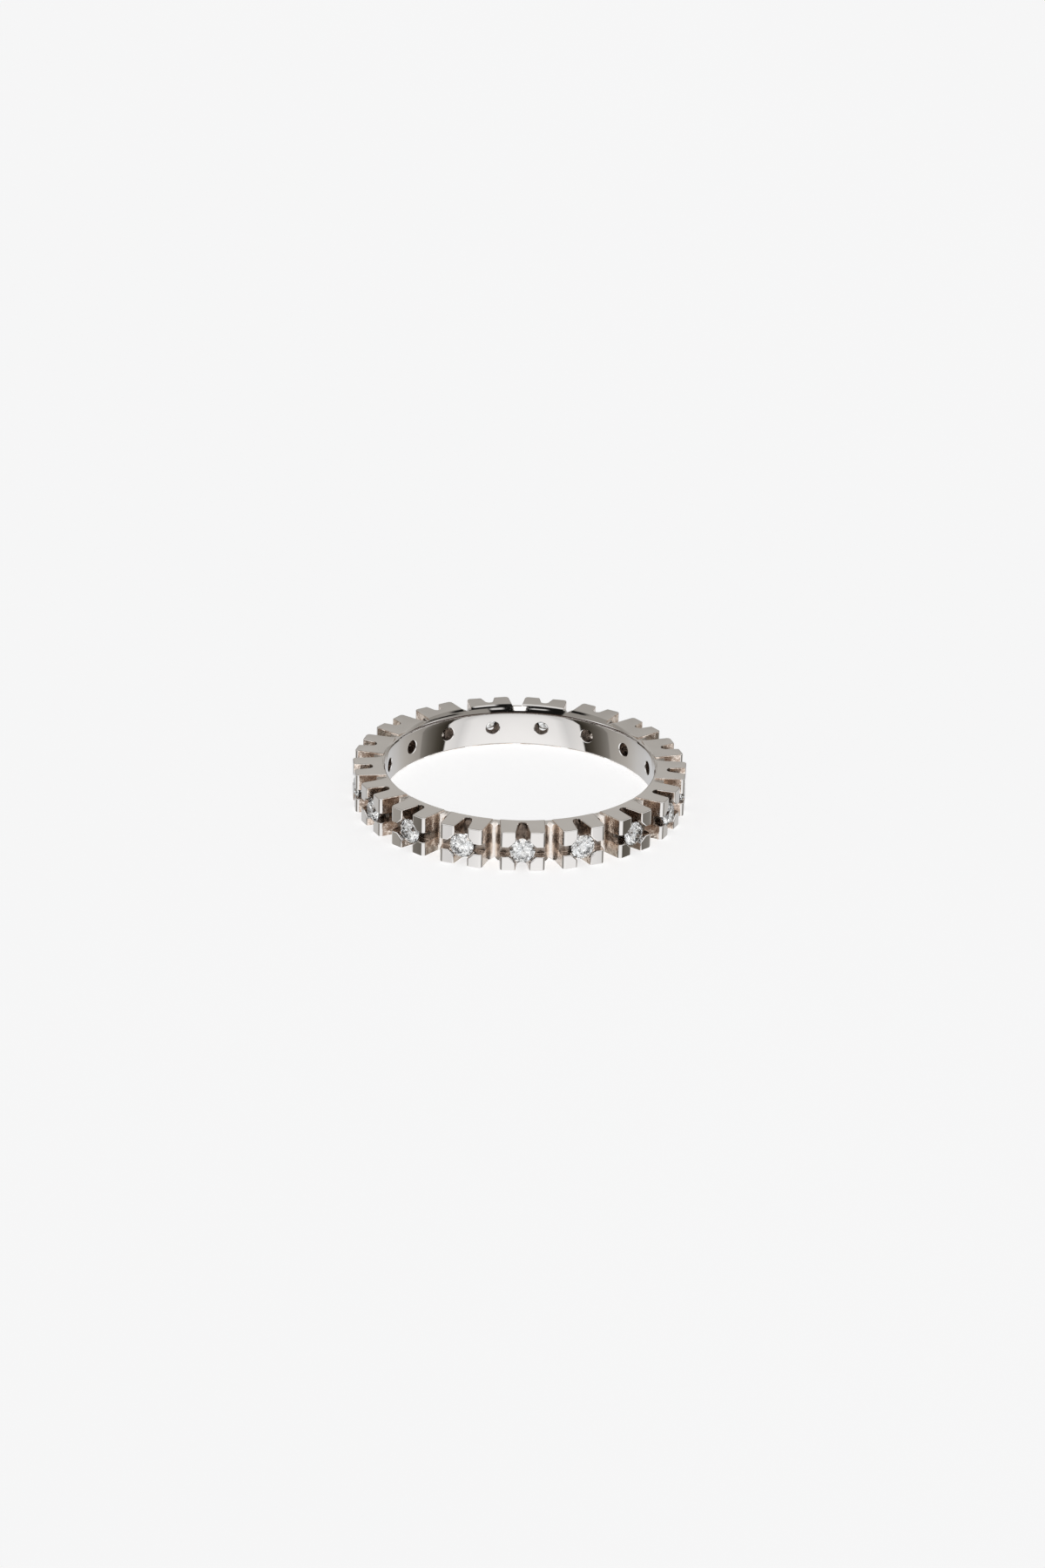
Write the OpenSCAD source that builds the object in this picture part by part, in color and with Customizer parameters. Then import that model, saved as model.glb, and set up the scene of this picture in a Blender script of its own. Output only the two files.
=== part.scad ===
// Full eternity ring: a row of square boxes soldered round a plain core ring.
// Each box has four corner posts that stand round one brilliant-cut stone.
// The ring lies flat: its axis is Z, z = 0 is the surface it rests on, and box 0 faces -Y.

/* [Ring] */
// Diameter of the finger hole
finger_d = 17; // [16.8:0.1:17.8]
// Height of the boxes along the finger
band_h = 2.56; // [2.5:0.02:2.7]
// Radial thickness from the finger hole to the flat face of a box
wall_t = 1.93; // [1.88:0.01:2.05]
// Number of boxes and stones
box_count = 17; // [15:1:17]

/* [Boxes] */
// Width of a box round the ring
box_w = 2.75; // [2.7:0.01:2.8]
// Radius of the upright outer corners of a box
corner_r = 0.22; // [0.16:0.01:0.24]
// Radial thickness of the core ring that joins the boxes
core_t = 0.72; // [0.68:0.01:0.78]
// How much lower than the boxes the core ring is, on each side
core_drop = 0.08; // [0.06:0.01:0.12]
// Ledge from the finger hole to the flat inner end of a box
inner_ledge = 0.04; // [0.03:0.01:0.06]

/* [Cuts] */
// Height of the groove that runs round the outside and parts upper from lower posts
groove_h = 0.62; // [0.58:0.02:0.72]
// Depth of that groove below the flat faces
groove_d = 0.55; // [0.5:0.01:0.6]
// How far the row of stones, with its groove and holes, lies below mid height
row_drop = 0.05; // [0:0.01:0.08]
// Width of the upright slot between the posts, at the flat face
slot_mouth_w = 0.86; // [0.8:0.01:0.9]
// Width of the slot at its round inner end
slot_end_w = 0.54; // [0.48:0.01:0.6]
// Depth of the slot between the upper posts of box 0
slot_d = 1.48; // [1.4:0.01:1.52]
// Lean of the inner end of that slot, in degrees from upright
slot_lean = 26; // [22:1:30]
// Depth of that slot in a box at +Y, where the cuts are shorter
far_slot_d = 0.76; // [0.7:0.01:1]
// Depth of the slots between the lower posts
lower_slot_d = 1.2; // [1:0.01:1.36]
// Straight cut on the corner of each post next to its stone
post_cut = 0.41; // [0.4:0.01:0.46]
// Diameter of the hole behind each stone
hole_d = 0.88; // [0.84:0.02:0.94]
// Chamfer round each hole where it opens into the finger hole
hole_rim = 0.03; // [0.02:0.01:0.05]
// Chamfer on the inner edges of the core ring
edge_cut = 0.06; // [0.04:0.01:0.08]
// Depth of the notch filed into the core ring between two boxes
notch_d = 0.24; // [0.16:0.02:0.28]
// Greatest width of the polished bevel on the inner edge, at +Y
bevel_w = 0.76; // [0.6:0.02:0.8]
// Depth of that bevel where it meets the finger hole
bevel_h = 0.26; // [0.2:0.01:0.3]
// How far the bevel reaches round the ring, to each side of +Y
bevel_reach = 60; // [50:1:64]

/* [Stones] */
// Diameter of a stone at its girdle
stone_d = 1.54; // [1.5:0.01:1.58]
// Depth of the girdle below the flat face of its box
girdle_depth = 0.25; // [0.24:0.01:0.32]
// Clear space between a stone and its seat
seat_gap = 0.03; // [0.02:0.01:0.04]

/* [Hidden] */
$fn = 96;
PLATINUM = [0.72, 0.71, 0.69];
DIAMOND = [0.90, 0.94, 0.97];

bore_r = finger_d / 2;
face_r = bore_r + wall_t;
core_r = bore_r + core_t;
pitch = 360 / box_count;
row_z = band_h / 2 - row_drop;
past = 1;
// How far below the flat end of a box its slot begins to lean
lean_start = 0.04;

stone_r = stone_d / 2;
girdle_r = face_r - girdle_depth;
seat_r = stone_r + seat_gap;
hole_r = hole_d / 2;

// Angles and shares of a round brilliant
CROWN_ANGLE = 34.5;
PAVILION_ANGLE = 41;
TABLE_SHARE = 0.57;
STAR_SHARE = 0.76;
LOWER_SHARE = 0.22;
GIRDLE_SHARE = 0.03;
MAINS = 8;
// Turn from one stone to the next, so that no two show the same facets
STONE_TURN = 17;

function two_digits(n) = str(n < 10 ? "0" : "", n);
function stone_name(i) = str("stone_", two_digits(i + 1));
function arc(centre, r, from, to, steps) =
    [for (k = [0 : steps]) let (a = from + (to - from) * k / steps) centre + r * [cos(a), sin(a)]];

// Repeats its child at every box, turned by a share of the spacing
module round_the_ring(share = 0) {
    for (i = [0 : box_count - 1])
        rotate([0, 0, (i + share) * pitch])
            children();
}

// Plan of one box: flat inner end inside the core ring, rounded outer corners
module box_plan() {
    half = box_w / 2;
    polygon(concat(
        [[half, -bore_r - inner_ledge], [-half, -bore_r - inner_ledge]],
        arc([-half + corner_r, -face_r + corner_r], corner_r, 180, 270, 4),
        arc([half - corner_r, -face_r + corner_r], corner_r, 270, 360, 4)
    ));
}

module core_ring() {
    translate([0, 0, core_drop])
        cylinder(h = band_h - 2 * core_drop, r = core_r);
}

// Finger hole with a chamfer at each end of the core ring
module finger_hole() {
    top = band_h - core_drop;
    rotate_extrude()
        polygon([
            [0, -past],
            [bore_r + edge_cut + past, core_drop - past],
            [bore_r, core_drop + edge_cut],
            [bore_r, top - edge_cut],
            [bore_r + edge_cut + past, top + past],
            [0, band_h + past]
        ]);
}

// Wide cone set off centre, so that it fades out at bevel_reach to each side of +Y
module edge_bevel() {
    shift = bevel_w * (bevel_w + 2 * bore_r) / (2 * (bore_r * (1 - cos(bevel_reach)) + bevel_w));
    top_r = bore_r + bevel_w - shift;
    slope = bevel_w / bevel_h;
    depth = 2 * bevel_h;
    above = 0.3;
    translate([0, shift, band_h - depth])
        cylinder(h = depth + above, r1 = top_r - depth * slope, r2 = top_r + above * slope);
}

module outer_groove() {
    rotate_extrude()
        translate([face_r - groove_d, row_z - groove_h / 2])
            square([groove_d + past, groove_h]);
}

// Upright slot of half the height, with a round inner end and sides that open towards the mouth
module post_slot(depth) {
    end_r = slot_end_w / 2;
    end_y = -face_r + depth - end_r;
    widening = (slot_mouth_w / 2 - end_r) / (depth - end_r);
    outer = slot_mouth_w / 2 + past * widening;
    linear_extrude(row_z + past)
        polygon(concat(
            [[-outer, -face_r - past], [outer, -face_r - past]],
            arc([0, end_y], end_r, 0, 180, 8)
        ));
}

// Slot without what a tilted saw leaves standing at its inner end
module leaning_slot(depth) {
    difference() {
        post_slot(depth);
        translate([0, -face_r + depth, band_h - row_z - lean_start])
            rotate([-slot_lean * depth / slot_d, 0, 0])
                translate([-slot_mouth_w, 0, -2 * band_h])
                    cube([2 * slot_mouth_w, 2 * depth, 2 * band_h + past]);
    }
}

// Depth of the upper slot of box i, which shortens from box 0 round to +Y
function upper_slot_d(i) =
    (slot_d + far_slot_d) / 2 + (slot_d - far_slot_d) / 2 * cos(i * pitch);

// Seat that follows the stone's lower half, and the hole that goes on to the finger
module seat_and_hole() {
    seat_top = girdle_r - seat_gap;
    cone_end = seat_top - (seat_r - hole_r) * tan(PAVILION_ANGLE);
    translate([0, 0, row_z])
        rotate([90, 0, 0])
            rotate_extrude()
                polygon([
                    [0, bore_r - past],
                    [hole_r + hole_rim + past, bore_r - past],
                    [hole_r, bore_r + hole_rim],
                    [hole_r, cone_end],
                    [seat_r, seat_top],
                    [seat_r, face_r + past],
                    [0, face_r + past]
                ]);
}

// Square window, stood on one corner, that cuts the posts' corners straight down to the girdle
module stone_window() {
    reach = (slot_mouth_w + groove_h) / 2 + post_cut;
    translate([0, 0, row_z])
        rotate([90, 0, 0])
            translate([0, 0, girdle_r - seat_gap])
                linear_extrude(girdle_depth + seat_gap + past)
                    polygon([[reach, 0], [0, reach], [-reach, 0], [0, -reach]]);
}

// Notch filed from the gap between two boxes towards the finger hole
module joint_notch() {
    start_r = bore_r + 2 * edge_cut;
    tilt = atan(notch_d / (core_r - start_r));
    side = 1.2;
    length = core_t + past;
    translate([0, -start_r, band_h - core_drop])
        rotate([tilt, 0, 0])
            rotate([0, -45, 0])
                translate([0, -length, 0])
                    cube([side, 1.5 * length, side]);
}

// Core ring with a notch in its upper and lower face between every two boxes.
// The bevel has polished the upper notch away where it is widest, at +Y.
module notched_core() {
    difference() {
        core_ring();
        for (i = [0 : box_count - 1])
            if (abs((i + 0.5) * pitch - 180) > pitch / 4)
                rotate([0, 0, (i + 0.5) * pitch])
                    joint_notch();
        round_the_ring(0.5) translate([0, 0, band_h]) mirror([0, 0, 1]) joint_notch();
    }
}

// Boxes on their core ring, with the cuts that are turned on a lathe
module turned_blank() {
    difference() {
        union() {
            notched_core();
            round_the_ring()
                linear_extrude(band_h)
                    box_plan();
        }
        finger_hole();
        edge_bevel();
        outer_groove();
    }
}

// Blank with the slots that part the four posts of each box
module posts() {
    difference() {
        turned_blank();
        for (i = [0 : box_count - 1])
            translate([0, 0, row_z])
                rotate([0, 0, i * pitch])
                    leaning_slot(upper_slot_d(i));
        round_the_ring() translate([0, 0, -past]) post_slot(lower_slot_d);
    }
}

module band() {
    color(PLATINUM)
        difference() {
            posts();
            round_the_ring() seat_and_hole();
            round_the_ring() stone_window();
        }
}

// A point of the cut, at a share of the girdle radius, with half steps between the mains
function facet_point(step, share, z) =
    let (a = step * 360 / MAINS) [stone_r * share * cos(a), stone_r * share * sin(a), z];

// Round brilliant with its girdle at z = 0 and its table towards +Z
module brilliant() {
    half_girdle = stone_d * GIRDLE_SHARE / 2;
    half_step = cos(180 / MAINS);
    table_z = half_girdle + stone_r * (1 - TABLE_SHARE) * tan(CROWN_ANGLE);
    star_z = half_girdle + stone_r * (1 - STAR_SHARE * half_step) * tan(CROWN_ANGLE);
    lower_z = -half_girdle - stone_r * (1 - LOWER_SHARE * half_step) * tan(PAVILION_ANGLE);
    culet_z = -half_girdle - stone_r * tan(PAVILION_ANGLE);
    // Rows of points, each starting where the one before it ends
    table = 0;
    star = table + MAINS;
    rim = star + MAINS;
    keel = rim + 2 * MAINS;
    lower = keel + 2 * MAINS;
    culet = lower + MAINS;
    points = concat(
        [for (k = [0 : MAINS - 1]) facet_point(k, TABLE_SHARE, table_z)],
        [for (k = [0 : MAINS - 1]) facet_point(k + 0.5, STAR_SHARE, star_z)],
        [for (k = [0 : 2 * MAINS - 1]) facet_point(k / 2, 1, half_girdle)],
        [for (k = [0 : 2 * MAINS - 1]) facet_point(k / 2, 1, -half_girdle)],
        [for (k = [0 : MAINS - 1]) facet_point(k + 0.5, LOWER_SHARE, lower_z)],
        [[0, 0, culet_z]]
    );
    faces = concat(
        [[for (k = [MAINS - 1 : -1 : 0]) table + k]],
        [for (k = [0 : MAINS - 1]) each crown_facets(k, table, star, rim)],
        [for (k = [0 : 2 * MAINS - 1]) let (n = (k + 1) % (2 * MAINS)) [rim + k, rim + n, keel + n, keel + k]],
        [for (k = [0 : MAINS - 1]) each pavilion_facets(k, keel, lower, culet)]
    );
    polyhedron(points, faces);
}

// Star, bezel and two upper girdle facets of one eighth
function crown_facets(k, table, star, rim) =
    let (n = (k + 1) % MAINS, p = (k + MAINS - 1) % MAINS)
    [
        [table + k, table + n, star + k],
        [table + k, star + k, rim + 2 * k, star + p],
        [star + k, rim + 2 * k + 1, rim + 2 * k],
        [star + k, rim + 2 * n, rim + 2 * k + 1]
    ];

// Pavilion main and two lower girdle facets of one eighth
function pavilion_facets(k, keel, lower, culet) =
    let (n = (k + 1) % MAINS, p = (k + MAINS - 1) % MAINS)
    [
        [culet, lower + p, keel + 2 * k, lower + k],
        [lower + k, keel + 2 * k, keel + 2 * k + 1],
        [lower + k, keel + 2 * k + 1, keel + 2 * n]
    ];

module stone(i) {
    color(DIAMOND)
        rotate([0, 0, i * pitch])
            translate([0, -girdle_r, row_z])
                rotate([90, 0, 0])
                    rotate([0, 0, i * STONE_TURN])
                        brilliant();
}

band();
for (i = [0 : box_count - 1])
    stone(i);
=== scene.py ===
"""Looks of the platinum eternity ring: a finished band, cut stones, a pale table and soft light.

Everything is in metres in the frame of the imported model, except inside band_mesh, which works in
millimetres because the bevel tool is coarse on metre-sized numbers.
"""

import math

import bmesh
import bpy
import numpy as np
from mathutils import Matrix, Vector


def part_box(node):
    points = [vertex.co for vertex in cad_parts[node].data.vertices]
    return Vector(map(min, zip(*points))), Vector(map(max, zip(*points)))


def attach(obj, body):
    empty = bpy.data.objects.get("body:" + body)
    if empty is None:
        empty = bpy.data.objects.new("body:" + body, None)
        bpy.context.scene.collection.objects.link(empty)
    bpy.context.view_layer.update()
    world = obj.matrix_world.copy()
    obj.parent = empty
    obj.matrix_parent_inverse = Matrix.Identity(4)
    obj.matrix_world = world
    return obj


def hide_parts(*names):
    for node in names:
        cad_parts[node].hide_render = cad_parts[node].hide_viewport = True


bl_info = {
    "name": "Eternity ring finish",
    "version": (1, 0, 0),
    "blender": (4, 5, 0),
    "location": "View3D > Sidebar > Ring",
    "description": "Finishes the metal and stones of an eternity ring and lights it on a table",
    "category": "Object",
}

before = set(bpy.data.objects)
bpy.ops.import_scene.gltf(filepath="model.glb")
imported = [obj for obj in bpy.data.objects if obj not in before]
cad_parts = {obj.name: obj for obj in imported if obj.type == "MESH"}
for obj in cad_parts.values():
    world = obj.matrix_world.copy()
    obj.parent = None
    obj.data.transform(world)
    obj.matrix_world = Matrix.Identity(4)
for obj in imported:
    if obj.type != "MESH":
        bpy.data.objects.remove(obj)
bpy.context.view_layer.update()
BODY = "root"
MM = 0.001

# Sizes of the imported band, in millimetres, that tell its faces apart
BAND_LOW, BAND_HIGH = (np.array(corner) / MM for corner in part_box("band"))
BOXES = sum(name.startswith("stone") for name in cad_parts)
PITCH = 2 * math.pi / BOXES
HEIGHT = BAND_HIGH[2]
FACE_R = -BAND_LOW[1]
BORE_R = 8.5
CORE_R = 9.22
GROOVE_R = 9.88
GIRDLE_R = 10.18
HOLE_R = 0.44
HALF_BOX = 1.375
CORNER_R = 0.22
HALF_GAP = 0.32
ROW_Z = 1.23
SHELF = 0.08
CONE_Y = 1.3471
CONE_R = 7.9129
CONE_SLOPE = math.atan2(0.26, 0.76)
LEDGE = 0.15
NOTCH_R = 8.62
NOTCH_HEIGHT = 0.5
SLOT_HALF = 0.3
SLOT_END_R = 9.98
SEAT_WIDTH = 0.36
BEVEL_DEPTH = 0.33
BEVEL_REACH = 0.9
# How far a face may lie from its surface: a flat one, a small one and a faceted round one
NEAR, CLOSE, ROUND = 0.004, 0.02, 0.05
# Corners of the mesh that are closer together than this are joined
WELD = 0.001
# Bends: of faces that count as one plane, of edges that stay sharp and of edges to be rounded
SAME_PLANE, CREASE, CORNER = (math.radians(degrees) for degrees in (0.4, 35, 40))

# Heights where the wall of the finger hole is cut, so that its normals can follow its lip
BORE_CUTS = (0.5, 1.9, 2.1, 2.22)
# The lip begins at this share of the height. At the sides it has this share of its lean, which
# grows to the full one between these shares of the way to the back.
LIP_START = 0.5
SIDE_LIP = 0.6
BACK_START, BACK_FULL = 0.3, 0.7
# Leans of the normals, in radians: of a notch's inner end and of the thin ledge above the lip
NOTCH_LEAN = 0.5
LEDGE_LEAN = 0.26
# Places of the materials on the band
POLISHED, SAWN, FILED, WORN_HIGHLIT, DRILLED = range(5)


# Shader maths


class Value:
    """A socket whose operators add Math nodes, so that shader maths reads as an expression."""

    def __init__(self, net, socket):
        self.net, self.socket = net, socket

    def __add__(self, other):
        return self.net.math("ADD", self, other)

    def __sub__(self, other):
        return self.net.math("SUBTRACT", self, other)

    def __rsub__(self, other):
        return self.net.math("SUBTRACT", other, self)

    def __mul__(self, other):
        return self.net.math("MULTIPLY", self, other)

    def __truediv__(self, other):
        return self.net.math("DIVIDE", self, other)

    __radd__ = __add__
    __rmul__ = __mul__


class Net:
    """A node tree that is built from nothing."""

    def __init__(self, tree):
        tree.nodes.clear()
        self.tree = tree

    def node(self, kind, settings, sockets, out=0):
        """Adds a node: first its settings, then the values or links of its sockets."""
        node = self.tree.nodes.new(kind)
        for name, value in settings.items():
            if name == "stops":
                ramp = node.color_ramp
                while len(ramp.elements) < len(value):
                    ramp.elements.new(1)
                for element, (place, level) in zip(ramp.elements, value):
                    element.position = place
                    element.color = (*level, 1) if np.ndim(level) else (level, level, level, 1)
            else:
                setattr(node, name, value)
        for name, value in sockets.items():
            if isinstance(value, Value):
                self.tree.links.new(value.socket, node.inputs[name])
            else:
                node.inputs[name].default_value = value
        return Value(self, node.outputs[out]) if node.outputs else None

    def math(self, operation, *values):
        return self.node("ShaderNodeMath", {"operation": operation}, dict(enumerate(values)))

    def clamped(self, value):
        return self.node("ShaderNodeClamp", {}, {0: value})

    def steps(self, value, low, high):
        """0 below low, 1 above high and a smooth rise between them."""
        return self.node(
            "ShaderNodeMapRange",
            {"interpolation_type": "SMOOTHSTEP"},
            {"Value": value, "From Min": low, "From Max": high},
        )

    def between(self, value, low, high, soft):
        """1 between low and high and 0 outside, with a smooth change of soft to each side."""
        rise = self.steps(value, low - soft, low + soft)
        return rise * (1 - self.steps(value, high - soft, high + soft))

    def axes(self, vector):
        """The three numbers of a vector."""
        split = self.node("ShaderNodeSeparateXYZ", {}, {0: vector})
        return (Value(self, socket) for socket in split.socket.node.outputs)

    def mix(self, share, a, b):
        """Colour a where share is 0 and colour b where it is 1."""
        return self.node("ShaderNodeMix", {"data_type": "RGBA"}, {0: share, 6: a, 7: b}, out=2)

    def mix_number(self, share, a, b):
        """Number a where share is 0 and number b where it is 1."""
        return self.node("ShaderNodeMix", {"data_type": "FLOAT"}, {0: share, 2: a, 3: b})

    def ramp(self, value, stops):
        """The brightness or colour of the stops at a value between 0 and 1."""
        return self.node("ShaderNodeValToRGB", {"stops": stops}, {0: value})

    def noise(self, place, size, detail=3, roughness=0.5):
        """Noise whose lumps are about size metres across."""
        return self.node(
            "ShaderNodeTexNoise",
            {},
            {"Vector": place, "Scale": 1 / size, "Detail": detail, "Roughness": roughness},
        )

    def stretched(self, place, turn, stretch):
        """Object coordinates, turned and then squeezed along each axis."""
        return self.node(
            "ShaderNodeMapping", {}, {"Vector": place, "Rotation": turn, "Scale": stretch}
        )

    def bump(self, height, depth):
        """Relief of a height between 0 and 1, as deep as depth metres."""
        return self.node("ShaderNodeBump", {}, {"Height": height, "Distance": depth, "Strength": 1})


def colour(values, share=1.0):
    """A colour for a socket, darker or lighter by share."""
    return (*(share * value for value in values), 1)


def new_material(name):
    """A material with a Principled shader, its net, and the object coordinates."""
    material = bpy.data.materials.new(name)
    material.use_nodes = True
    net = Net(material.node_tree)
    place = net.node("ShaderNodeTexCoord", {}, {}, out="Object")
    return material, net, place


def finish_material(net, sockets):
    shader = net.node("ShaderNodeBsdfPrincipled", {}, sockets)
    net.node("ShaderNodeOutputMaterial", {}, {"Surface": shader})


# Metal


class PlatinumSettings(bpy.types.PropertyGroup):
    edge_round: bpy.props.FloatProperty(
        name="Edge rounding",
        description="Width of the rounding on the polished edges",
        default=0.000065,
        precision=6,
        unit="LENGTH",
        subtype="DISTANCE",
    )
    mouth_round: bpy.props.FloatProperty(
        name="Rounding of the slots' mouths",
        description="Width of the rounding on the upright edges beside a slot",
        default=0.0001,
        precision=6,
        unit="LENGTH",
        subtype="DISTANCE",
    )
    dome: bpy.props.FloatProperty(
        name="Crown inside",
        description="How far the finger hole leans back at its ends",
        default=0.05,
        subtype="ANGLE",
    )
    lip: bpy.props.FloatProperty(
        name="Lip inside",
        description="How much further the finger hole leans back close to its upper edge",
        default=2.5,
        subtype="ANGLE",
    )
    crown: bpy.props.FloatProperty(
        name="Crown of the bevel",
        description="How much the inner edge's bevel turns to each side of its middle",
        default=0.12,
        subtype="ANGLE",
    )
    pillow: bpy.props.FloatProperty(
        name="Swell of the fronts",
        description="How far a flat front turns away at its sides",
        default=0.06,
        subtype="ANGLE",
    )
    channel: bpy.props.FloatProperty(
        name="Channel between boxes",
        description="How far the floor of a gap turns up at its sides",
        default=1.1,
        subtype="ANGLE",
    )
    bow: bpy.props.FloatProperty(
        name="Rounding of the notches",
        description="How far the notches between the boxes turn down at their outer end",
        default=1.0,
        subtype="ANGLE",
    )
    polish: bpy.props.FloatVectorProperty(
        name="Polished metal",
        description="Colour of the polished platinum",
        default=(0.74, 0.72, 0.705),
        subtype="COLOR",
    )
    cut: bpy.props.FloatVectorProperty(
        name="Cut metal",
        description="Colour of the platinum in the saw cuts and seats",
        default=(0.92, 0.825, 0.745),
        subtype="COLOR",
    )
    # This dull colour is also the base of the painted shade at the groove and in the holes and
    # seats
    soil_and_shade: bpy.props.FloatVectorProperty(
        name="Dull metal",
        description="Colour of the darkest grain in the saw cuts",
        default=(0.46, 0.36, 0.295),
        subtype="COLOR",
    )
    wave: bpy.props.FloatProperty(
        name="Polishing waves",
        description="Depth of the slow waves that polishing leaves",
        default=0.000003,
        precision=7,
        unit="LENGTH",
        subtype="DISTANCE",
    )
    grain: bpy.props.FloatProperty(
        name="Cut grain",
        description="Depth of the grain in the saw cuts",
        default=0.00005,
        precision=6,
        unit="LENGTH",
        subtype="DISTANCE",
    )


# Where the looks of the cuts change, in metres, each as a start and an end: how far to the left
# and right the walls become dull and darker with painted shade, how far from mid height the
# painted shade of the groove reaches, and how far from the axis of the ring the holes stop
# being lighter with painted light
SIDE_WALLS = (4.5 * MM, 7.5 * MM)
GROOVE_PAINTED_SHADE = (0.24 * MM, 0.36 * MM)
HOLE_PAINTED_LIGHT = (9.2 * MM, 9.6 * MM)
HOLE_WALL = (HOLE_R * MM, (HOLE_R + 0.05) * MM)


def polished_platinum(settings):
    """Mirror polish with slow waves and fine wiping lines in two directions."""
    material, net, place = new_material("Platinum polished")
    cloud = net.noise(place, 2.2 * MM, detail=1)
    lines = net.noise(
        net.stretched(place, (0, 0, 0.4), (1, 18, 6)), 0.6 * MM, detail=4, roughness=0.65
    )
    cross = net.noise(
        net.stretched(place, (0.3, 0.2, -0.7), (20, 1.2, 3)), 0.8 * MM, detail=3, roughness=0.6
    )
    wiped = net.steps(lines, 0.5, 0.72) * 0.6 + net.steps(cross, 0.55, 0.75) * 0.4
    tone = net.mix(
        net.steps(cloud, 0.35, 0.7) * 0.5,
        colour(settings.polish),
        colour(settings.polish, 0.93),
    )
    finish_material(
        net,
        {
            "Base Color": tone,
            "Metallic": 1.0,
            "Roughness": 0.03 + wiped * 0.06,
            "Normal": net.bump(cloud + wiped * 0.02, settings.wave),
        },
    )
    return material


def worn_highlit_platinum(settings):
    """The rounded edges, which wear has left satin, with a painted highlight: their colour runs up
    to a tenth lighter than the polish.
    """
    material, net, place = new_material("Platinum worn edges painted highlight")
    nicks = net.noise(place, 0.3 * MM, detail=3)
    finish_material(
        net,
        {
            # painted highlight: the edges are up to a tenth lighter than the polish
            "Base Color": net.mix(nicks, colour(settings.polish), colour(settings.polish, 1.1)),
            "Metallic": 1.0,
            "Roughness": 0.18 + nicks * 0.12,
            "Normal": net.bump(nicks, settings.wave),
        },
    )
    return material


def cut_platinum(settings):
    """Sawn metal: matt, warm and grainy, with brighter worn grains.

    It is darkest at the height of the groove, with painted shade. The walls at the left and right
    of the ring are duller and dented, and darker with painted shade."""
    material, net, place = new_material("Platinum cut")
    grain = net.noise(place, 0.12 * MM, detail=4, roughness=0.65)
    patch = net.noise(place, 0.35 * MM, detail=2)
    tool = net.noise(net.stretched(place, (0, 0, 0), (1, 1, 5)), 0.4 * MM, detail=3)
    x, _, z = net.axes(place)
    side = net.steps(net.math("ABSOLUTE", x), *SIDE_WALLS)
    dents = net.noise(place, 0.75 * MM, detail=1) * side
    # painted shade: the walls at the left and right of the ring are darker, through side
    dull = net.steps(patch * 0.5 + grain * 0.5 - side * 0.08, 0.34, 0.54)
    tone = net.mix(dull, colour(settings.soil_and_shade), colour(settings.cut))
    # painted shade: the colour darkens towards a fifth of the dull colour at the height of the
    # groove
    shade = 1 - net.steps(net.math("ABSOLUTE", z - ROW_Z * MM), *GROOVE_PAINTED_SHADE)
    relief = patch * 0.6 + grain * 0.2 + tool * 0.2 + dents * 2.2
    finish_material(
        net,
        {
            "Base Color": net.mix(shade * 0.75, tone, colour(settings.soil_and_shade, 0.22)),
            "Metallic": 1.0,
            "Roughness": net.clamped(0.36 - dull * 0.2 - side * 0.05),
            "Normal": net.bump(relief, settings.grain),
        },
    )
    return material


def shaded_drilled_platinum(settings):
    """The holes and seats behind the stones and the slots' inner ends, darkened with painted shade.

    It is brown, with lighter patches, and lightest, with painted light, in the holes close to the
    finger."""
    material, net, place = new_material("Platinum drilled painted shade")
    grain = net.noise(place, 0.1 * MM, detail=4, roughness=0.65)
    patch = net.noise(place, 0.3 * MM, detail=2)
    worn = net.steps(patch * 0.6 + grain * 0.4, 0.42, 0.6)
    # painted shade: the colour is a tenth to under half of the dull colour
    tone = net.mix(worn, colour(settings.soil_and_shade, 0.1), colour(settings.soil_and_shade, 0.45))
    x, y, z = net.axes(place)
    hole = 1 - net.steps(net.math("ABSOLUTE", z - ROW_Z * MM), *HOLE_WALL)
    # painted light: the holes close to the finger are lighter
    deep = hole * (1 - net.steps(net.math("SQRT", x * x + y * y), *HOLE_PAINTED_LIGHT))
    painted_light_tone = net.mix(worn, colour(settings.soil_and_shade, 0.45), colour(settings.soil_and_shade))
    tone = net.mix(deep, tone, painted_light_tone)
    finish_material(
        net,
        {
            "Base Color": tone,
            "Metallic": 1.0,
            "Roughness": 0.28 + grain * 0.2,
            "Normal": net.bump(patch * 0.7 + grain * 0.3, settings.grain * 0.6),
        },
    )
    return material


def filed_platinum(settings):
    """Filed metal in the gaps: brighter than the saw cuts, with fine upright file lines."""
    material, net, place = new_material("Platinum filed")
    grain = net.noise(place, 0.16 * MM, detail=4, roughness=0.6)
    lines = net.noise(net.stretched(place, (0, 0, 0), (7, 7, 1)), 0.5 * MM, detail=2)
    finish_material(
        net,
        {
            "Base Color": net.mix(grain, colour(settings.cut), colour(settings.polish)),
            "Metallic": 1.0,
            "Roughness": 0.12 + grain * 0.2,
            "Normal": net.bump(grain * 0.6 + lines * 0.4, settings.grain * 0.4),
        },
    )
    return material


def to_boxes(points):
    """Each point as (along the box, outward, up) in the frame of its nearest box, and the turns."""
    turn = np.round(np.arctan2(points[:, 0], -points[:, 1]) / PITCH) * PITCH
    return turned(points, turn), turn


def turned(vectors, turn):
    """Vectors turned back by an angle each, so that a box at that angle faces -Y."""
    c, s = np.cos(turn), np.sin(turn)
    x, y, z = vectors.T
    return np.stack([x * c + y * s, x * s - y * c, z], 1)


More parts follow.
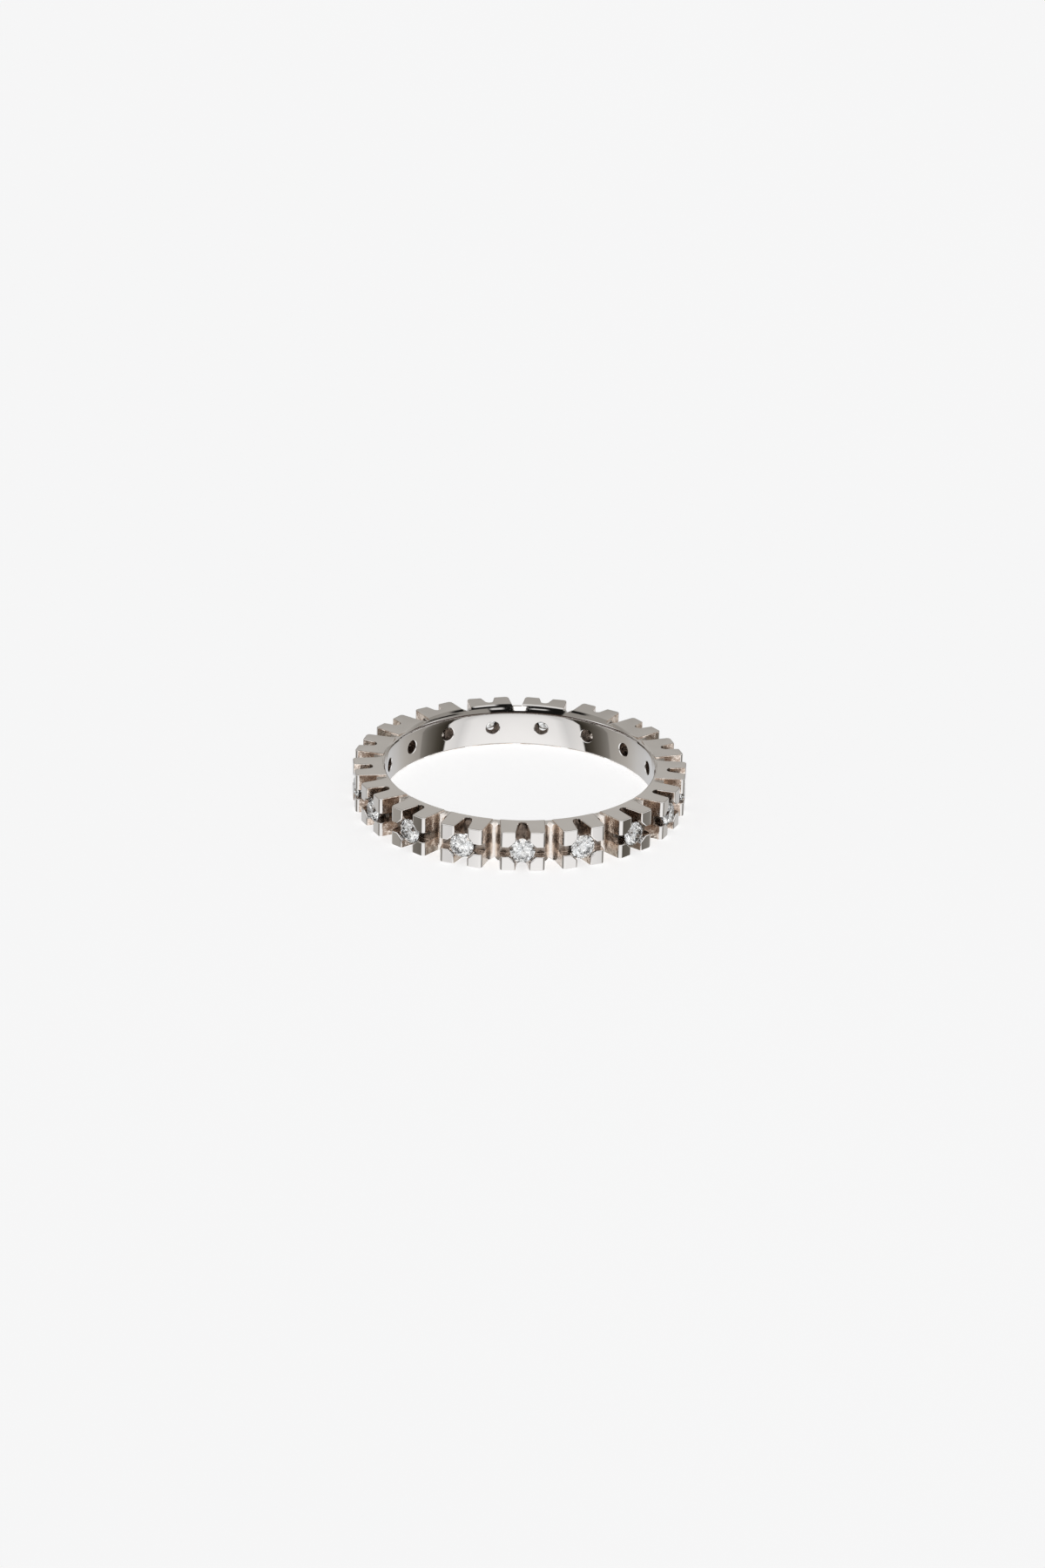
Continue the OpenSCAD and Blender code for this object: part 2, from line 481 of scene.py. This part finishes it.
def surfaces(centres, normals):
    """Masks of the faces that lie on each named surface of the band.

    In the frame of its box, a face is known by its place (along, out, up), by its normal n, by
    how far its normal points to the axis of the ring (inward) or to the axis of the stone
    (to_axis), and by its distances from the two (radius and hub)."""
    local, turn = to_boxes(centres)
    along, out, up = local.T
    n = turned(normals, turn)
    radius = np.hypot(centres[:, 0], centres[:, 1])
    inward = -(normals[:, 0] * centres[:, 0] + normals[:, 1] * centres[:, 1]) / radius
    upright = np.abs(normals[:, 2]) < 0.02
    hub = np.hypot(along, up - ROW_Z)
    shelf = (np.abs(up - SHELF) < NEAR) | (np.abs(up - HEIGHT + SHELF) < NEAR)
    level = (up < NEAR) | (up > HEIGHT - NEAR)
    corner = np.abs(along) > HALF_BOX - CORNER_R
    slant = np.abs(normals[:, 2])
    to_axis = -(n[:, 0] * along + n[:, 2] * (up - ROW_Z)) / np.maximum(hub, NEAR)
    facing = n[:, 1]
    rim = (radius < BORE_R + LEDGE / 2) & (inward > 0.2) & (slant < 0.99)
    seat = HOLE_R + CLOSE + SEAT_WIDTH * (facing > 0.5)
    slot = (np.abs(along) < SLOT_HALF) & (out < SLOT_END_R) & (hub > HOLE_R)
    end = np.minimum(up, HEIGHT - up) < NOTCH_HEIGHT
    cut_corner = (slant > 0.69) & (slant < 0.72) & (np.abs(facing) < 0.02)
    return {
        "ledge": rim & (up > HEIGHT / 2) & (hub > HOLE_R + SLOT_HALF) & (radius > BORE_R + CLOSE),
        "slot_end": slot & (facing > 0.3) & (slant < 0.6),
        "drilled": (to_axis > 0.5) & (out < GIRDLE_R) & (hub < seat),
        "flat": level & (slant > 0.99),
        "front": (out > FACE_R - CORNER_R) & (facing > 0.15) & upright & (corner | (facing > 0.99)),
        "plane": (out > FACE_R - NEAR) & (facing > 0.999),
        "bore": (inward > 0.9) & upright & (np.abs(radius - BORE_R) < ROUND) & (hub > HOLE_R),
        "rim": rim & (hub > HOLE_R - CLOSE / 2),
        "shelf": shelf & (slant > 0.99) & (radius < CORE_R + CLOSE / 2),
        "bevel": (inward > 0.15) & (normals[:, 2] > 0.5) & (up > HEIGHT - BEVEL_DEPTH)
        & (radius < BORE_R + BEVEL_REACH),
        "notch": (slant > 0.5) & (slant < 0.8) & (np.abs(inward) < 0.6) & end
        & (radius < CORE_R + CLOSE) & (radius > NOTCH_R),
        "window": cut_corner & (out > GIRDLE_R - ROUND),
        "gap": (inward < -0.9) & upright & (np.abs(radius - CORE_R) < ROUND),
        "groove": (inward < -0.9) & upright & (np.abs(radius - GROOVE_R) < ROUND),
    }


def middles(work):
    """The middle and the normal of each face."""
    return (
        np.array([f.calc_center_median() for f in work.faces]),
        np.array([f.normal for f in work.faces]),
    )


def joined_band(share):
    """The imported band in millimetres, with its triangles joined into flat faces.

    The first material is for what a polishing stick reaches, the second for the saw cuts, the
    third for the filed gaps, the fourth for the rounded edges and the fifth for the holes and
    seats behind the stones and the inner ends of the slots. The upright edges of the fronts get
    the bevel's full weight, the other edges round the fronts and the flat ends get share of it,
    and the other bends are sharp."""
    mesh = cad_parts["band"].data.copy()
    mesh.materials.clear()
    mesh.transform(Matrix.Scale(1 / MM, 4))
    work = bmesh.new()
    work.from_mesh(mesh)
    bmesh.ops.remove_doubles(work, verts=work.verts, dist=WELD)
    bmesh.ops.dissolve_limit(
        work, angle_limit=SAME_PLANE, verts=work.verts, edges=work.edges, delimit=set()
    )
    for height in BORE_CUTS:
        found = surfaces(*middles(work))["bore"]
        faces = [f for f, chosen in zip(work.faces, found) if chosen]
        parts = {*faces, *(e for f in faces for e in f.edges), *(v for f in faces for v in f.verts)}
        bmesh.ops.bisect_plane(
            work, geom=list(parts), dist=NEAR, plane_co=(0, 0, height), plane_no=(0, 0, 1)
        )
    found = surfaces(*middles(work))
    shown = found["flat"] | found["front"]
    worn = found["rim"] & ~found["bore"] & ~found["ledge"]
    polished = shown.copy()
    for name in ("bore", "ledge", "bevel", "window", "rim", "shelf"):
        polished |= found[name]
    filed = found["gap"] | found["notch"]
    dark = found["drilled"] | found["slot_end"]
    kinds = np.select(
        [worn, polished, filed, dark], [WORN_HIGHLIT, POLISHED, FILED, DRILLED], default=SAWN
    )
    turned_edges = np.where(found["bevel"], 1, np.where(found["bore"], 2, 0))
    for face, kind, rounded in zip(work.faces, kinds, shown):
        face.material_index = int(kind)
        face.smooth = True
        face.tag = bool(rounded)
    fronts = found["plane"]
    weight = work.edges.layers.float.new("bevel_weight_edge")
    for edge in work.edges:
        bend = edge.calc_face_angle(0)
        reach = sum((v.co.xy.length for v in edge.verts)) / 2
        outer = reach > BORE_R + LEDGE and any(f.tag for f in edge.link_faces)
        if edge.is_convex and bend > CORNER and outer:
            rise = edge.verts[0].co - edge.verts[1].co
            mouth = rise.xy.length < NEAR and any(fronts[f.index] for f in edge.link_faces)
            edge[weight] = 1 if mouth else share
        elif bend > CREASE or len({turned_edges[f.index] for f in edge.link_faces}) > 1:
            edge.smooth = False
    work.to_mesh(mesh)
    work.free()
    return mesh


def rounded_band(mesh, width):
    """The mesh with its weighted edges rounded, at full weight by width in millimetres."""
    carrier = bpy.data.objects.new("band_work", mesh)
    bpy.context.scene.collection.objects.link(carrier)
    bevel = carrier.modifiers.new("Rounded edges", "BEVEL")
    bevel.limit_method = "WEIGHT"
    bevel.width = width
    bevel.segments = 3
    bevel.use_clamp_overlap = False
    bevel.material = WORN_HIGHLIT
    carrier.modifiers.new("Flat faces stay flat", "WEIGHTED_NORMAL").keep_sharp = True
    bpy.context.view_layer.update()
    evaluated = carrier.evaluated_get(bpy.context.evaluated_depsgraph_get())
    result = bpy.data.meshes.new_from_object(evaluated)
    bpy.data.objects.remove(carrier)
    return result


def read(items, name, width, kind=float):
    """An array of one property of each item, with width numbers to a row."""
    values = np.empty(len(items) * width, kind)
    items.foreach_get(name, values)
    return values.reshape(-1, width) if width > 1 else values


def turn_normals(mesh, settings):
    """Gives each face the normals of its true surface, which polishing has left a little round.

    The finger hole's point at the axis and tilt with height, which runs from -1 to 1: by dome
    times the height, and above LIP_START by lip times the square of the height over it. At the
    sides of the ring the lip leans back less. The thin ledge above it leans by LEDGE_LEAN. The
    bevel's are those of its cone, with crown more slope inside and less outside. A gap's floor
    turns away from its middle, up to channel at its sides. A notch turns outwards, from
    NOTCH_LEAN at its inner end to bow at its outer end. A flat front swells by pillow at its
    sides."""
    normals = read(mesh.corner_normals, "vector", 3)
    corners = read(mesh.loops, "vertex_index", 1, int)
    place = read(mesh.vertices, "co", 3)[corners]
    faces = np.repeat(np.arange(len(mesh.polygons)), read(mesh.polygons, "loop_total", 1, int))
    found = surfaces(read(mesh.polygons, "center", 3), read(mesh.polygons, "normal", 3))
    radial = place * (1, 1, 0)
    radial /= np.linalg.norm(radial, axis=1, keepdims=True)
    up = np.array([0, 0, 1.0])
    level = place[:, 2:] / HEIGHT * 2 - 1
    far = np.clip((radial[:, 1:2] - BACK_START) / (BACK_FULL - BACK_START), 0, 1)
    lip = settings.lip * (SIDE_LIP + (1 - SIDE_LIP) * far)
    rise = level * settings.dome + np.clip(level - LIP_START, 0, 1) ** 2 * lip
    cone = (place - (0, CONE_Y, 0)) * (1, 1, 0)
    reach = np.linalg.norm(cone, axis=1, keepdims=True)
    cone /= reach
    inside = np.hypot(*place[:, :2].T)[:, None] - BORE_R
    share = np.clip(inside / np.maximum(inside + CONE_R - reach, NEAR), 0, 1)
    slope = CONE_SLOPE + settings.crown * (1 - 2 * share)
    tangent = np.cross(up, radial)
    gap = (np.arctan2(place[:, 0], -place[:, 1]) / PITCH) % 1 - 0.5
    side = np.clip(gap * PITCH * CORE_R / HALF_GAP, -1, 1)[:, None] * settings.channel
    depth = (np.hypot(*place[:, :2].T)[:, None] - NOTCH_R) / (CORE_R - NOTCH_R)
    bow = NOTCH_LEAN + np.clip(depth, 0, 1) * (settings.bow - NOTCH_LEAN)
    local, turn = to_boxes(place)
    swell = local[:, 0] / HALF_BOX * settings.pillow
    out = np.stack([np.sin(swell + turn), -np.cos(swell + turn), 0 * swell], 1)
    true = {
        "flat": np.sign(normals[:, 2:]) * up,
        "plane": out,
        "bore": -radial * np.cos(rise) + up * np.sin(rise),
        "ledge": -radial * np.cos(LEDGE_LEAN) + up * np.sin(LEDGE_LEAN),
        "bevel": -cone * np.sin(slope) + up * np.cos(slope),
        "gap": radial * np.cos(side) - tangent * np.sin(side),
        "notch": radial * np.sin(bow) + np.sign(normals[:, 2:]) * up * np.cos(bow),
        "groove": radial,
    }
    for name, values in true.items():
        chosen = found[name][faces]
        normals[chosen] = values[chosen]
    mesh.normals_split_custom_set(normals.tolist())


def band_mesh(settings):
    """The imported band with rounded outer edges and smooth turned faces."""
    share = settings.edge_round / settings.mouth_round
    mesh = rounded_band(joined_band(share), settings.mouth_round / MM)
    turn_normals(mesh, settings)
    mesh.transform(Matrix.Scale(MM, 4))
    return mesh


class RING_OT_finish_band(bpy.types.Operator):
    """Finishes the metal band: rounded edges, mirror polish outside and matt metal in the cuts"""

    bl_idname = "ring.finish_band"
    bl_label = "Finish the band"

    def execute(self, context):
        settings = context.scene.ring_platinum
        mesh = band_mesh(settings)
        finishes = (
            polished_platinum, cut_platinum, filed_platinum, worn_highlit_platinum, shaded_drilled_platinum
        )
        for finish in finishes:
            mesh.materials.append(finish(settings))
        band = bpy.data.objects.new("band_finished", mesh)
        context.scene.collection.objects.link(band)
        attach(band, BODY)
        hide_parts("band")
        return {"FINISHED"}


# Stones


class DiamondSettings(bpy.types.PropertyGroup):
    white: bpy.props.FloatVectorProperty(
        name="White",
        description="Colour of a colourless stone",
        default=(0.97, 0.975, 0.98),
        subtype="COLOR",
    )


def diamond(settings):
    """Clear stone with faint blue and straw glints that change from facet to facet: painted fire, a
    tint in the stone's colour.
    """
    material, net, place = new_material("Diamond")
    glint = net.noise(place, 0.35 * MM, detail=1)
    # painted fire: blue and straw tints in the stone's colour stand in for light split into colours
    painted_fire = net.mix(
        net.steps(glint, 0.4, 0.6), colour((0.9, 0.95, 1.0)), colour((1.0, 0.985, 0.93))
    )
    finish_material(
        net,
        {
            "Base Color": net.mix(0.4, colour(settings.white), painted_fire),
            "Roughness": 0.0,
            "IOR": 2.417,
            "Transmission Weight": 1.0,
        },
    )
    return material


class RING_OT_set_stones(bpy.types.Operator):
    """Gives the stones their diamond"""

    bl_idname = "ring.set_stones"
    bl_label = "Set the stones"

    def execute(self, context):
        material = diamond(context.scene.ring_diamond)
        for name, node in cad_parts.items():
            if name.startswith("stone"):
                node.data.materials.clear()
                node.data.materials.append(material)
        return {"FINISHED"}


# Stage


class StudioSettings(bpy.types.PropertyGroup):
    table: bpy.props.FloatVectorProperty(
        name="Table",
        description="Colour of the table top",
        default=(0.93, 0.93, 0.932),
        subtype="COLOR",
    )
    light: bpy.props.FloatProperty(
        name="Light", description="Brightness of the soft light on the table", default=0.28
    )
    glow: bpy.props.FloatProperty(
        name="Glow", description="Brightness of the light from under the table top", default=0.72
    )
    elevation: bpy.props.FloatProperty(
        name="Camera height", description="Angle above the table", default=0.4255, subtype="ANGLE"
    )
    turn: bpy.props.FloatProperty(
        name="Camera turn",
        description="Angle round the ring from its front",
        default=-0.029,
        subtype="ANGLE",
    )
    roll: bpy.props.FloatProperty(
        name="Camera roll",
        description="Tilt of the camera about its own axis",
        default=0.0245,
        subtype="ANGLE",
    )
    distance: bpy.props.FloatProperty(
        name="Camera distance",
        description="Distance from the middle of the ring",
        default=0.24676,
        unit="LENGTH",
        subtype="DISTANCE",
    )


PICTURE = (1200, 1800)
RING_CENTRE_IN_PICTURE = (596.4, 896.3)
LENS_PIXELS = 4500
SENSOR = 36
NEAREST, FARTHEST = 0.01, 50


def place_camera(settings):
    """The camera looks at the ring from the front and above, a little aside of its middle."""
    e, turn, roll = settings.elevation, settings.turn, settings.roll
    ahead = Vector((-math.sin(turn) * math.cos(e), math.cos(turn) * math.cos(e), -math.sin(e)))
    level = Vector((math.cos(turn), math.sin(turn), 0))
    upright = level.cross(ahead)
    right = math.cos(roll) * level + math.sin(roll) * upright
    up = math.cos(roll) * upright - math.sin(roll) * level
    aside = (PICTURE[0] / 2 - RING_CENTRE_IN_PICTURE[0]) / LENS_PIXELS
    below = (PICTURE[1] / 2 - RING_CENTRE_IN_PICTURE[1]) / LENS_PIXELS
    middle = Vector((0, 0, HEIGHT * MM / 2))
    axis = (ahead + aside * right - below * up).normalized()
    right = (right - right.dot(axis) * axis).normalized()
    up = right.cross(axis)
    data = bpy.data.cameras.new("Camera")
    data.sensor_width = SENSOR
    data.lens = LENS_PIXELS * SENSOR / max(PICTURE)
    data.clip_start, data.clip_end = NEAREST, FARTHEST
    camera = bpy.data.objects.new("Camera", data)
    camera.matrix_world = Matrix.Translation(middle - settings.distance * ahead) @ (
        Matrix((right, up, -axis)).transposed().to_4x4()
    )
    bpy.context.scene.collection.objects.link(camera)
    bpy.context.scene.camera = camera


# The cards that the metal mirrors: an angle in degrees, a brightness and a warmth.
# Below the horizon the angle runs round the ring from the camera's side, and above it upwards.
CARD_ASIDE = 4.5
LOW_CARDS = (
    (0, 1.18, 0), (38, 1.12, 0), (43, 1.0, 0), (47, 0.9, 0), (60.2, 1.02, 0.02),
    (61.4, 0.03, 0.4), (70, 0.08, 0.3), (80, 0.17, 0.2), (88.4, 0.28, 0.14), (89.6, 0.42, 0.12),
    (98, 0.48, 0.12), (112, 0.57, 0.1), (127, 0.7, 0.03), (150, 0.75, -0.03), (180, 0.72, -0.02),
)
BACK_CARDS = (
    (0, 0.6, 0.08), (15, 0.5, 0.1), (22, 0.36, 0.12), (23.2, 0.45, 0.1), (23.4, 0.49, 0.1),
    (23.9, 0.54, 0.09), (24.2, 0.57, 0.09), (32, 0.57, 0.09), (40, 0.36, 0.12), (90, 0.36, 0.12),
)
FRONT_CARDS = (
    (0, 1.1, 0), (10, 1.15, 0), (45, 1.2, 0), (60, 1.0, 0), (90, 0.36, 0.12),
)
DARK_LINE = (0.07, 0.045, 0.035, 1)
# The edges of the low cards lean: their angle counts at this height and falls by LEAN a degree
LEAN_HEIGHT, LEAN = -24, 1.1
# Turns round the ring, and heights, where one card gives way to the next: a start and an end
TO_BACK, FRONT_END, SIDE_EDGE = (80, 110), (46, 54), (59, 62)
FRONT_RISE, SIDE_RISE = (-3, 0), (-6, 6)
LINE_FOOT, LINE_TOP = (-2, 0), (9, 12)
# The sky is dimmer with height up to the first range's end, and lifted again over the second
DIMMING = {"From Min": -34, "From Max": -12, "To Min": 1.07, "To Max": 0.8}
LIFT, LIFT_SHARE = (-10, 0), 0.2
# The way the camera looks, and the slopes in degrees of the far bevel's normals from upright
AHEAD = (0.0264, 0.9104, -0.4128)
BEVEL_SLOPE, BEVEL_CROWN = 18.9, 6.9
BEVEL_ENDS = (11, 27)
# The far bevel's cards, by the turn of the normal that mirrors them and its share of the way up
BEVEL_LAMP = (-1.5, 4.0, 0.25, 0.78, 0.4)
# Left, right, low and top end, softness, and for the streaks their level
BEVEL_FLAGS = (
    (-13.6, 23, -0.5, 1.5, 0.6), (-21, -12, 0.62, 1.5, 1), (-31, -17, 0.62, 0.95, 2.5),
    (-50, -29, 0.28, 0.5, 3), (20, 33, 0.64, 0.98, 3),
)
BEVEL_STREAKS = (
    (-12.5, -6.5, 0.4, 0.62, 1, 0.8), (6.5, 14.5, 0.44, 0.56, 1.5, 0.9),
    (-1, 22, 0.87, 1.5, 1, 1), (-19, -9, 0.87, 1.5, 1, 1),
)
# The lights that the stones show: the size of the noise on the sky, and its stops
SPARKLE_SIZE = 0.22
SPARKLE = ((0.38, 0.24), (0.44, 0.74), (0.56, 0.92), (0.62, 1.6))
BLACK = (0, 0, 0, 1)
STREAK_WHITE = (1, 0.99, 0.98, 1)
LAMP_WHITE = (2.4, 2.37, 2.33, 1)
DEGREE = 180 / math.pi


def warm(level, warmth):
    """A grey of a level, with less green and blue as warmth grows."""
    return level, level * (1 - 0.4 * warmth), level * (1 - warmth)


def card_ramp(net, angle, most, cards):
    """The cards along an angle that runs from 0 to most."""
    return net.ramp(angle / most, [(a / most, warm(level, w)) for a, level, w in cards])


def bevel_cards(net, sky, high):
    """Black flags and lamps high behind the ring, placed by where the far bevel mirrors them.

    The normal that mirrors a ray is the middle of the ray and the way back to the camera. Its
    azimuth tells the place round the bevel, and its slope the share of the way from the finger
    hole up to the flat top."""
    hx, hy, hz = (value - ahead for value, ahead in zip(sky, AHEAD))
    flat = net.math("SQRT", hx * hx + hy * hy)
    turn = net.math("ARCTAN2", hx * -1, hy * -1) * DEGREE
    slope = net.math("ARCTAN2", flat, hz) * DEGREE
    share = 0.5 - (slope - BEVEL_SLOPE) / (2 * BEVEL_CROWN)

    def patch(left, right, low, high, soft, edge=0.06):
        """1 inside a patch, from left to right in degrees and from low to high in shares."""
        return net.between(turn, left, right, soft) * net.between(share, low, high, edge)

    on_bevel = net.between(slope, *BEVEL_ENDS, 1)
    black = 0
    for flag in BEVEL_FLAGS:
        black = net.math("MAXIMUM", black, patch(*flag))
    high = net.mix(black * on_bevel * 0.97, high, BLACK)
    streaks = 0
    for *streak, level in BEVEL_STREAKS:
        streaks = streaks + patch(*streak) * level
    high = net.mix(streaks * on_bevel, high, STREAK_WHITE)
    return net.mix(patch(*BEVEL_LAMP) * on_bevel, high, LAMP_WHITE)


def studio_world(settings):
    """Even light for the table, and white and dark cards round the ring for what mirrors.

    The cards are places on the sky: an angle round the ring from the camera's side, and a
    height. What the metal mirrors is those cards, what the stones mirror inside them is a field
    of lights, and all else gets even light."""
    world = bpy.data.worlds.new("Studio")
    bpy.context.scene.world = world
    world.use_nodes = True
    net = Net(world.node_tree)
    sky = net.node("ShaderNodeTexCoord", {}, {}, out="Generated")
    x, y, z = net.axes(sky)
    angle = net.math("ARCTAN2", x, y * -1) * DEGREE
    around = net.math("ABSOLUTE", angle - CARD_ASIDE)
    height = net.math("ARCSINE", z) * DEGREE
    edge = around + (height - LEAN_HEIGHT) * LEAN
    low = card_ramp(net, edge, 180, LOW_CARDS)
    back = card_ramp(net, height, 90, BACK_CARDS)
    front = card_ramp(net, height, 90, FRONT_CARDS)
    high = net.mix(net.steps(around, *TO_BACK), front, back)
    high = bevel_cards(net, (x, y, z), high)
    in_front = net.steps(height, *FRONT_RISE) * (1 - net.steps(around, *FRONT_END))
    at_side = net.steps(edge, *SIDE_EDGE) * net.steps(height, *SIDE_RISE)
    raised = net.math("MAXIMUM", at_side, in_front)
    line = net.steps(height, *LINE_FOOT) * (1 - net.steps(height, *LINE_TOP))
    cards = net.mix(line, net.mix(raised, low, high), DARK_LINE)
    level = net.node("ShaderNodeMapRange", {}, {"Value": height, **DIMMING})
    level = level + net.steps(height, *LIFT) * LIFT_SHARE
    sparkle = net.ramp(net.noise(sky, SPARKLE_SIZE, detail=1), SPARKLE)
    ways = net.node("ShaderNodeLightPath", {}, {})
    flags = ways.socket.node.outputs
    mirrored = net.mix(Value(net, flags["Is Transmission Ray"]), cards, sparkle)
    glossy = Value(net, flags["Is Glossy Ray"])
    light = net.mix(glossy, (settings.light,) * 3 + (1,), mirrored)
    far_table = colour(settings.table, settings.light + settings.glow)
    shown = net.mix(Value(net, flags["Is Camera Ray"]), light, far_table)
    strength = net.mix_number(glossy, 1.0, level)
    background = net.node("ShaderNodeBackground", {}, {"Color": shown, "Strength": strength})
    net.node("ShaderNodeOutputWorld", {}, {"Surface": background})


TABLE_SIDES = 96
TABLE_R = 4.0
TABLE_DROP = 1e-5


def table_top(settings):
    """A round pale table top, wide enough to fill the picture."""
    material, net, place = new_material("Pale table")
    cloud = net.noise(place, 0.12, detail=2)
    tone = net.mix(cloud, colour(settings.table, 0.985), colour(settings.table))
    finish_material(
        net,
        {
            "Base Color": tone,
            "Roughness": 0.9,
            "Specular IOR Level": 0.0,
            "Emission Color": tone,
            "Emission Strength": settings.glow,
        },
    )
    angle = np.linspace(0, 2 * math.pi, TABLE_SIDES, endpoint=False)
    edge = np.stack([TABLE_R * np.cos(angle), TABLE_R * np.sin(angle), 0 * angle - TABLE_DROP], 1)
    mesh = bpy.data.meshes.new("Table")
    mesh.from_pydata(edge.tolist(), [], [list(range(TABLE_SIDES))])
    mesh.materials.append(material)
    table = bpy.data.objects.new("Table", mesh)
    bpy.context.scene.collection.objects.link(table)
    table.visible_glossy = False
    table.visible_transmission = False


class RING_OT_set_stage(bpy.types.Operator):
    """Puts the ring on a pale table in soft light, in front of the camera"""

    bl_idname = "ring.set_stage"
    bl_label = "Set the stage"

    def execute(self, context):
        settings = context.scene.ring_studio
        place_camera(settings)
        studio_world(settings)
        table_top(settings)
        context.scene.view_settings.view_transform = "Standard"
        return {"FINISHED"}


class RING_PT_panel(bpy.types.Panel):
    """Sizes, colours and steps of the ring's finish"""

    bl_idname = "RING_PT_panel"
    bl_label = "Eternity ring"
    bl_space_type = "VIEW_3D"
    bl_region_type = "UI"
    bl_category = "Ring"

    def draw(self, context):
        for group, operator in STEPS:
            settings = getattr(context.scene, group)
            for name in settings.bl_rna.properties.keys():
                if name not in ("rna_type", "name"):
                    self.layout.prop(settings, name)
            self.layout.operator(operator.bl_idname)


GROUPS = {
    "ring_studio": StudioSettings,
    "ring_platinum": PlatinumSettings,
    "ring_diamond": DiamondSettings,
}
STEPS = (
    ("ring_studio", RING_OT_set_stage),
    ("ring_platinum", RING_OT_finish_band),
    ("ring_diamond", RING_OT_set_stones),
)
CLASSES = (*GROUPS.values(), *(operator for _, operator in STEPS), RING_PT_panel)


def register():
    for cls in CLASSES:
        bpy.utils.register_class(cls)
    for name, group in GROUPS.items():
        setattr(bpy.types.Scene, name, bpy.props.PointerProperty(type=group))


def unregister():
    for name in GROUPS:
        delattr(bpy.types.Scene, name)
    for cls in reversed(CLASSES):
        bpy.utils.unregister_class(cls)


def main():
    register()
    bpy.ops.ring.set_stage()
    bpy.ops.ring.finish_band()
    bpy.ops.ring.set_stones()


if __name__ == "__main__":
    main()
